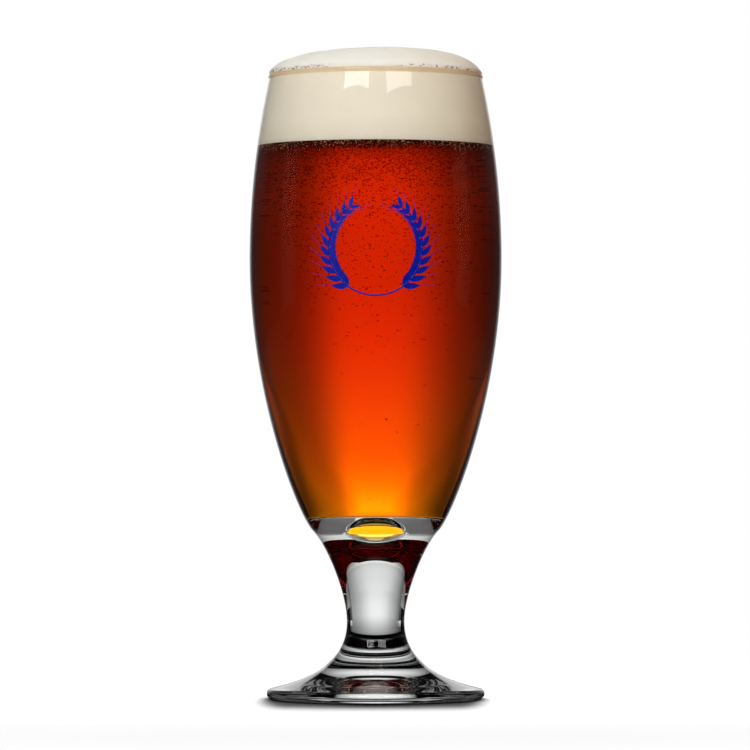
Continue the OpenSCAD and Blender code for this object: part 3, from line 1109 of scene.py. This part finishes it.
    def card_material(self, falloff, heights):
        """A lit white card, bright in the middle and falling off to both sides."""
        material, add = new_material("lit_white_card")
        coords = add("ShaderNodeTexCoord").outputs["Object"]
        x, y, z = add("ShaderNodeSeparateXYZ", {0: coords}).outputs
        highest = 80
        share = add("ShaderNodeMath", {0: z, 1: highest * MM}, operation="DIVIDE")
        shade = add("ShaderNodeValToRGB", {0: share}, stops=[(h / highest, v) for h, v in heights])
        turn = add("ShaderNodeMath", {0: x, 1: y}, operation="ARCTAN2")
        turn = add("ShaderNodeMath", {0: turn, 1: falloff}, operation="MULTIPLY")
        turn = add("ShaderNodeMapRange", {"Value": turn, "From Min": -math.pi / 2, "From Max": math.pi / 2})
        lobe = add(
            "ShaderNodeValToRGB",
            {0: turn},
            stops=[
                ((d + 90) / 180, v)
                for d, v in (
                    (-41, 0.02), (-39, 0.2), (-32, 0.29), (-20, 0.56), (-12, 0.84), (-6, 0.97), (0, 1.0),
                    (6, 0.95), (12, 0.78), (20, 0.56), (30, 0.41), (38, 0.36), (41, 0.03),
                )
            ],
        )
        shade = add("ShaderNodeMath", {0: shade, 1: lobe}, operation="MULTIPLY")
        glow = add("ShaderNodeEmission", {"Strength": shade})
        # Its dim ends let the backdrop through, so that no dark edge shows from other sides.
        solid = add("ShaderNodeMapRange", {"Value": lobe, "From Min": 0.03, "From Max": 0.3})
        clear = add("ShaderNodeBsdfTransparent")
        faded = add("ShaderNodeMixShader", {0: solid, 1: clear, 2: glow})
        add("ShaderNodeOutputMaterial", {"Surface": faded})
        return material

    def make_world(self, scene):
        world = bpy.data.worlds.new("studio")
        scene.world = world
        world.use_nodes = True
        world.node_tree.nodes.clear()
        add = partial(add_node, world.node_tree)
        way = add("ShaderNodeTexCoord").outputs["Generated"]
        x, y, z = add("ShaderNodeSeparateXYZ", {0: way}).outputs
        along = add("ShaderNodeMath", {0: y}, operation="ABSOLUTE")
        side = add("ShaderNodeMath", {0: x, 1: along}, operation="ARCTAN2")
        turn = add("ShaderNodeMath", {0: side}, operation="ABSOLUTE")
        turn = add("ShaderNodeMath", {0: turn, 1: 2 / math.pi}, operation="MULTIPLY")
        rise = add("ShaderNodeMath", {0: z}, operation="ARCSINE")
        lowest, highest = -20, 40
        span = highest - lowest
        rise = add(
            "ShaderNodeMapRange",
            {"Value": rise, "From Min": math.radians(lowest), "From Max": math.radians(highest)},
        )

        def by_rise(most, *stops):
            """A value by elevation in degrees, of up to most."""
            places = [((d - lowest) / span, v / most) for d, v in stops]
            ramp = add("ShaderNodeValToRGB", {0: rise}, stops=places)
            return add("ShaderNodeMath", {0: ramp, 1: most}, operation="MULTIPLY")

        # Backdrop seen through the glass, by the angle away from the fore-and-aft axis. It narrows upwards.
        narrow = by_rise(2.0, (12, 1.0), (13.5, 1.15), (15, 1.5))
        bent = add("ShaderNodeMath", {0: side, 1: narrow}, operation="MULTIPLY")
        bent = add("ShaderNodeMath", {0: bent, 1: 1 / math.pi, 2: 0.5}, operation="MULTIPLY_ADD")
        lobe = add(
            "ShaderNodeValToRGB",
            {0: bent},
            stops=[
                (d / 180 + 0.5, v)
                for d, v in (
                    (-77, 0.1), (-68, 0.05), (-55, 0.03), (-42, 0.07), (-34, 0.105), (-27, 0.16),
                    (-22, 0.23), (-18, 0.33), (-14, 0.49), (-10, 0.73), (-6, 0.9), (-2, 0.95),
                    (2, 0.95), (5, 0.94), (8, 0.87), (11, 0.67), (15, 0.39), (20, 0.235),
                    (27, 0.16), (36, 0.13), (45, 0.095), (55, 0.04), (68, 0.05), (77, 0.1),
                )
            ],
            blend="B_SPLINE",
        )
        # Low down, the white table shows at both sides.
        sides = add("ShaderNodeMapRange", {"Value": turn, "From Min": 77 / 90, "From Max": 82 / 90})
        low = add(
            "ShaderNodeMapRange",
            {"Value": rise, "From Min": (14 - lowest) / span, "From Max": (12 - lowest) / span},
        )
        sides = add("ShaderNodeMath", {0: sides, 1: low}, operation="MULTIPLY")
        lobe = add("ShaderNodeMath", {0: lobe, 1: sides}, operation="MAXIMUM")
        gain = by_rise(
            4.0,
            (-9, 0.05), (-7, 1.0), (4, 1.0), (8.5, 1.3), (12, 1.6), (13, 1.95), (14, 2.5), (15, 3.3),
            (17, 3.8), (20, 3.0), (26, 2.4), (31, 2.8), (33, 0.5), (35, 0.02),
        )
        through = add("ShaderNodeMath", {0: lobe, 1: gain}, operation="MULTIPLY")
        # Light that the glass throws back meets the dark room in front.
        onward = add(
            "ShaderNodeMapRange", {"Value": y, "From Min": -0.2, "From Max": -0.05, "To Min": 0.03}
        )
        through = add("ShaderNodeMath", {0: through, 1: onward}, operation="MULTIPLY")
        # Mirrored in the glass: the backdrop at its grazing sides, and a dark room elsewhere.
        mirror = add(
            "ShaderNodeValToRGB",
            {0: turn},
            stops=[(d / 90, v) for d, v in ((0, 1.0), (10, 0.9), (25, 0.07), (60, 0.02))],
        )
        upright = by_rise(
            2.0, (-16, 0.15), (-10, 0.6), (4, 0.6), (8, 1.25), (18.5, 1.25), (21.5, 0.06), (25, 0.02)
        )
        mirror = add("ShaderNodeMath", {0: mirror, 1: upright}, operation="MULTIPLY")
        ahead = add("ShaderNodeMath", {0: y, 1: 0.0}, operation="GREATER_THAN")
        dark_room, fill = 0.015, 0.25
        mirrored = add("ShaderNodeMix", {0: ahead, 2: dark_room, 3: mirror})
        path = add("ShaderNodeLightPath").outputs
        level = fill
        for kind, seen in (("Camera", 1.0), ("Reflection", mirrored), ("Transmission", through)):
            level = add("ShaderNodeMix", {0: path[f"Is {kind} Ray"], 2: level, 3: seen})
        back = add("ShaderNodeBackground", {"Color": (1, 1, 1, 1), "Strength": level})
        add("ShaderNodeOutputWorld", {"Surface": back})

    def make_lamps(self):
        # Azimuth and elevation as seen from the glass, width, height and roll in degrees, distance in metres
        # and power in watts. The windows are mirrored in the glass, and the other lamps only light it.
        lamps = {
            "left_window": (-21.4, 36.4, 24.0, 18.0, 2.3, 1.3, 5.0),
            "left_fill": (-21.4, 36.4, 24.0, 18.0, 0.0, 1.3, 1.4),
            "right_window": (25.9, 36.1, 25.4, 18.0, 0.0, 1.3, 2.7),
            "right_fill": (25.9, 36.1, 25.4, 18.0, 0.0, 1.3, 4.4),
            "front_softbox": (-34.0, 22.0, 30.0, 30.0, 0.0, 1.4, 7.4),
            "overhead_softbox": (180.0, 75.0, 45.0, 45.0, 0.0, 1.2, 5.2),
            "table_light": (180.0, 14.0, 40.0, 12.0, 0.0, 1.4, 170.0),
        }
        lit_place = Vector((0, 0, 0.15))
        for name, (azimuth, elevation, width, height, roll, distance, power) in lamps.items():
            lamp = bpy.data.lights.new(name, "AREA")
            lamp.shape = "RECTANGLE"
            lamp.size = 2 * distance * math.tan(math.radians(width / 2))
            lamp.size_y = 2 * distance * math.tan(math.radians(height / 2))
            lamp.energy = power
            a, e = math.radians(azimuth), math.radians(elevation)
            back = Vector((math.sin(a) * math.cos(e), -math.cos(a) * math.cos(e), math.sin(e)))
            obj = link(name, lamp)
            obj.location = lit_place + distance * back
            obj.rotation_mode = "QUATERNION"
            rolled = Quaternion((0, 0, 1), math.radians(roll))
            obj.rotation_quaternion = back.to_track_quat("Z", "Y") @ rolled
            obj.visible_camera = False
            obj.visible_transmission = False
            obj.visible_glossy = name.endswith("window")
            # The table has a lamp of its own, low behind the glass, so that the foot's shadow falls forward.
            linked = bpy.data.collections.new(f"{name}_link")
            linked.objects.link(bpy.data.objects["table_top"])
            if name != "table_light":
                linked.collection_objects[0].light_linking.link_state = "EXCLUDE"
            obj.light_linking.receiver_collection = linked

    def make_camera(self, scene, stage):
        camera = bpy.data.cameras.new("camera")
        camera.sensor_width = 36.0
        camera.lens = camera.sensor_width * stage.camera_distance / stage.field
        obj = link("camera", camera)
        to_left = -0.2 * MM
        obj.location = (to_left, -stage.camera_distance, stage.camera_h)
        aim = Vector((to_left, 0, stage.aim_h)) - obj.location
        obj.rotation_mode = "QUATERNION"
        obj.rotation_quaternion = aim.to_track_quat("-Z", "Y")
        scene.camera = obj


OPERATORS = (GLASS_OT_glass, GLASS_OT_drink, GLASS_OT_bubbles, GLASS_OT_print, GLASS_OT_stage)


class GLASS_PT_panel(bpy.types.Panel):
    """Lists the sizes and the pieces of the glass"""

    bl_idname = "GLASS_PT_panel"
    bl_label = "Footed pilsner glass"
    bl_space_type = "VIEW_3D"
    bl_region_type = "UI"
    bl_category = "Glass"

    def draw(self, context):
        for operator in OPERATORS:
            self.layout.operator(operator.bl_idname)
        for group in settings():
            box = self.layout.box()
            for name in group.bl_rna.properties.keys():
                if name not in {"rna_type", "name"}:
                    box.prop(group, name)


GROUPS = {
    "glass_sizes": GlassSizes,
    "drink_settings": DrinkSettings,
    "print_settings": PrintSettings,
    "stage_settings": StageSettings,
}


def register():
    for cls in (*GROUPS.values(), *OPERATORS, GLASS_PT_panel):
        bpy.utils.register_class(cls)
    for name, group in GROUPS.items():
        setattr(bpy.types.Scene, name, PointerProperty(type=group))


def unregister():
    for name in GROUPS:
        delattr(bpy.types.Scene, name)
    for cls in (GLASS_PT_panel, *reversed(OPERATORS), *reversed(GROUPS.values())):
        bpy.utils.unregister_class(cls)


def main():
    register()
    bpy.ops.glass.make_glass()
    bpy.ops.glass.make_drink()
    bpy.ops.glass.make_bubbles()
    bpy.ops.glass.make_print()
    bpy.ops.glass.make_stage()


if __name__ == "__main__":
    main()
